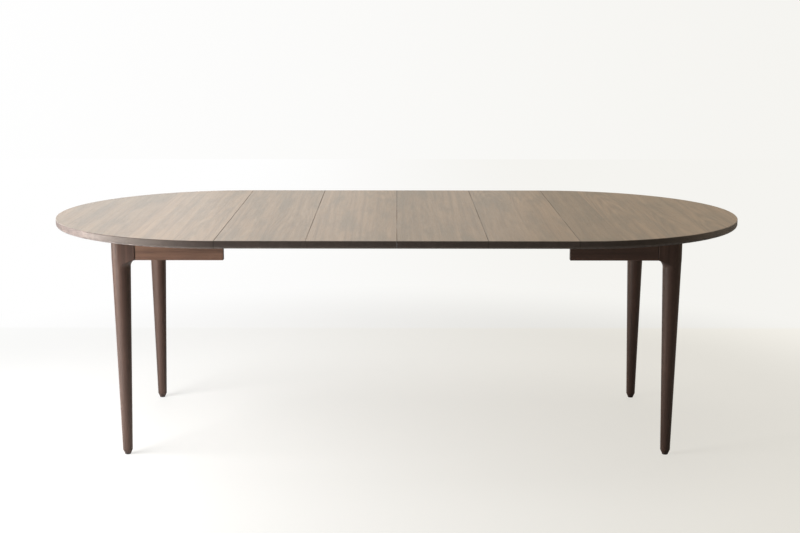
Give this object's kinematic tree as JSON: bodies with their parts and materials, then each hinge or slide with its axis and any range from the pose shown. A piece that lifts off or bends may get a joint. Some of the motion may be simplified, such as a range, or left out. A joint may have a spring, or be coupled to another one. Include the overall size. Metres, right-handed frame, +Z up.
{
  "type": "extending dining table",
  "caption": "Oval extending dining table of dark walnut: half-round ends on round tapered legs, lift-out leaves between them on telescoping wooden slides.",
  "frame": {"origin": "on the floor under the middle of the table, with all leaves in", "axes": "+X along the table to the right end, +Y to the back, +Z up"},
  "size_m": [2.34, 1.22, 0.762],
  "materials": {
    "walnut_top": "dark stained walnut, satin lacquer",
    "walnut_frame": "dark stained walnut, satin lacquer",
    "slide_beech": "waxed beech",
    "zinc_steel": "zinc plated",
    "gear_nylon": "moulded nylon",
    "glide_nylon": "moulded nylon"
  },
  "bodies": {
    "left_end": {"left_top": "walnut_top", "left_front_leg": "walnut_frame", "left_rear_leg": "walnut_frame", "left_front_apron": "walnut_frame", "left_rear_apron": "walnut_frame", "left_end_apron": "walnut_frame", "left_corner_brackets": "zinc_steel", "left_hanger_bolts": "zinc_steel", "left_wing_nuts": "zinc_steel", "left_top_clips": "zinc_steel", "left_glides": "glide_nylon", "left_slide_bars": "slide_beech", "left_lock_plates": "zinc_steel"},
    "right_end": {"right_top": "walnut_top", "right_front_leg": "walnut_frame", "right_rear_leg": "walnut_frame", "right_front_apron": "walnut_frame", "right_rear_apron": "walnut_frame", "right_end_apron": "walnut_frame", "right_corner_brackets": "zinc_steel", "right_hanger_bolts": "zinc_steel", "right_wing_nuts": "zinc_steel", "right_top_clips": "zinc_steel", "right_glides": "glide_nylon", "right_slide_bars": "slide_beech", "right_lock_keepers": "zinc_steel"},
    "left_mid_slide": {"left_mid_slide_bars": "slide_beech", "left_mid_tie": "slide_beech", "left_mid_racks": "gear_nylon"},
    "centre_slide": {"centre_slide_bars": "slide_beech", "centre_tie": "slide_beech", "pinion_axles": "zinc_steel"},
    "right_mid_slide": {"right_mid_slide_bars": "slide_beech", "right_mid_tie": "slide_beech", "right_mid_racks": "gear_nylon"},
    "front_pinion": {"front_pinion": "gear_nylon"},
    "rear_pinion": {"rear_pinion": "gear_nylon"},
    "leaf_1": {"leaf_1_panel": "walnut_top", "leaf_1_cleats": "walnut_frame", "leaf_1_lock_plates": "zinc_steel"},
    "leaf_2": {"leaf_2_panel": "walnut_top", "leaf_2_cleats": "walnut_frame", "leaf_2_lock_plates": "zinc_steel"},
    "leaf_3": {"leaf_3_panel": "walnut_top", "leaf_3_cleats": "walnut_frame", "leaf_3_lock_plates": "zinc_steel"},
    "leaf_4": {"leaf_4_panel": "walnut_top", "leaf_4_cleats": "walnut_frame", "leaf_4_lock_plates": "zinc_steel"},
    "left_front_lever": {"left_front_lever": "zinc_steel"},
    "left_rear_lever": {"left_rear_lever": "zinc_steel"},
    "leaf_1_front_lever": {"leaf_1_front_lever": "zinc_steel"},
    "leaf_1_rear_lever": {"leaf_1_rear_lever": "zinc_steel"},
    "leaf_2_front_lever": {"leaf_2_front_lever": "zinc_steel"},
    "leaf_2_rear_lever": {"leaf_2_rear_lever": "zinc_steel"},
    "leaf_3_front_lever": {"leaf_3_front_lever": "zinc_steel"},
    "leaf_3_rear_lever": {"leaf_3_rear_lever": "zinc_steel"},
    "leaf_4_front_lever": {"leaf_4_front_lever": "zinc_steel"},
    "leaf_4_rear_lever": {"leaf_4_rear_lever": "zinc_steel"}
  },
  "joints": [
    {"name": "left_mid_slide", "type": "slide", "parent": "left_end", "child": "left_mid_slide", "axis": [1, 0, 0], "range_m": [0, 0.015]},
    {"name": "centre_slide", "type": "slide", "parent": "left_mid_slide", "child": "centre_slide", "axis": [1, 0, 0], "range_m": [0, 0.015]},
    {"name": "right_mid_slide", "type": "slide", "parent": "centre_slide", "child": "right_mid_slide", "axis": [1, 0, 0], "range_m": [0, 0.015]},
    {"name": "right_end_slide", "type": "slide", "parent": "right_mid_slide", "child": "right_end", "axis": [1, 0, 0], "range_m": [0, 0.015]},
    {"name": "front_pinion_turn", "type": "hinge", "parent": "centre_slide", "child": "front_pinion", "pos_m": [0, -0.21, 0.7025], "axis": [0, 0, 1], "range_deg": [-54.01, 0]},
    {"name": "rear_pinion_turn", "type": "hinge", "parent": "centre_slide", "child": "rear_pinion", "pos_m": [0, 0.21, 0.7025], "axis": [0, 0, 1], "range_deg": [0, 54.01]},
    {"name": "leaf_1_lift", "type": "slide", "parent": "centre_slide", "child": "leaf_1", "axis": [0, 0, 1], "range_m": [0, 0.3]},
    {"name": "leaf_2_lift", "type": "slide", "parent": "centre_slide", "child": "leaf_2", "axis": [0, 0, 1], "range_m": [0, 0.3]},
    {"name": "leaf_3_lift", "type": "slide", "parent": "centre_slide", "child": "leaf_3", "axis": [0, 0, 1], "range_m": [0, 0.3]},
    {"name": "leaf_4_lift", "type": "slide", "parent": "centre_slide", "child": "leaf_4", "axis": [0, 0, 1], "range_m": [0, 0.3]},
    {"name": "left_front_lever_turn", "type": "hinge", "parent": "left_end", "child": "left_front_lever", "pos_m": [-0.5801, -0.287, 0.7332], "axis": [0, 0, 1], "range_deg": [0, 90]},
    {"name": "left_rear_lever_turn", "type": "hinge", "parent": "left_end", "child": "left_rear_lever", "pos_m": [-0.5801, 0.287, 0.7332], "axis": [0, 0, -1], "range_deg": [0, 90]},
    {"name": "leaf_1_front_lever_turn", "type": "hinge", "parent": "leaf_1", "child": "leaf_1_front_lever", "pos_m": [-0.3001, -0.287, 0.7332], "axis": [0, 0, 1], "range_deg": [0, 90]},
    {"name": "leaf_1_rear_lever_turn", "type": "hinge", "parent": "leaf_1", "child": "leaf_1_rear_lever", "pos_m": [-0.3001, 0.287, 0.7332], "axis": [0, 0, -1], "range_deg": [0, 90]},
    {"name": "leaf_2_front_lever_turn", "type": "hinge", "parent": "leaf_2", "child": "leaf_2_front_lever", "pos_m": [-0.0201, -0.287, 0.7332], "axis": [0, 0, 1], "range_deg": [0, 90]},
    {"name": "leaf_2_rear_lever_turn", "type": "hinge", "parent": "leaf_2", "child": "leaf_2_rear_lever", "pos_m": [-0.0201, 0.287, 0.7332], "axis": [0, 0, -1], "range_deg": [0, 90]},
    {"name": "leaf_3_front_lever_turn", "type": "hinge", "parent": "leaf_3", "child": "leaf_3_front_lever", "pos_m": [0.2599, -0.287, 0.7332], "axis": [0, 0, 1], "range_deg": [0, 90]},
    {"name": "leaf_3_rear_lever_turn", "type": "hinge", "parent": "leaf_3", "child": "leaf_3_rear_lever", "pos_m": [0.2599, 0.287, 0.7332], "axis": [0, 0, -1], "range_deg": [0, 90]},
    {"name": "leaf_4_front_lever_turn", "type": "hinge", "parent": "leaf_4", "child": "leaf_4_front_lever", "pos_m": [0.5399, -0.287, 0.7332], "axis": [0, 0, 1], "range_deg": [0, 90]},
    {"name": "leaf_4_rear_lever_turn", "type": "hinge", "parent": "leaf_4", "child": "leaf_4_rear_lever", "pos_m": [0.5399, 0.287, 0.7332], "axis": [0, 0, -1], "range_deg": [0, 90]}
  ],
  "couplings": [
    {"joint": "right_mid_slide", "follows": "centre_slide", "ratio": 1},
    {"joint": "front_pinion_turn", "follows": "centre_slide", "rad_per_m": -62.5},
    {"joint": "rear_pinion_turn", "follows": "centre_slide", "rad_per_m": 62.5}
  ]
}
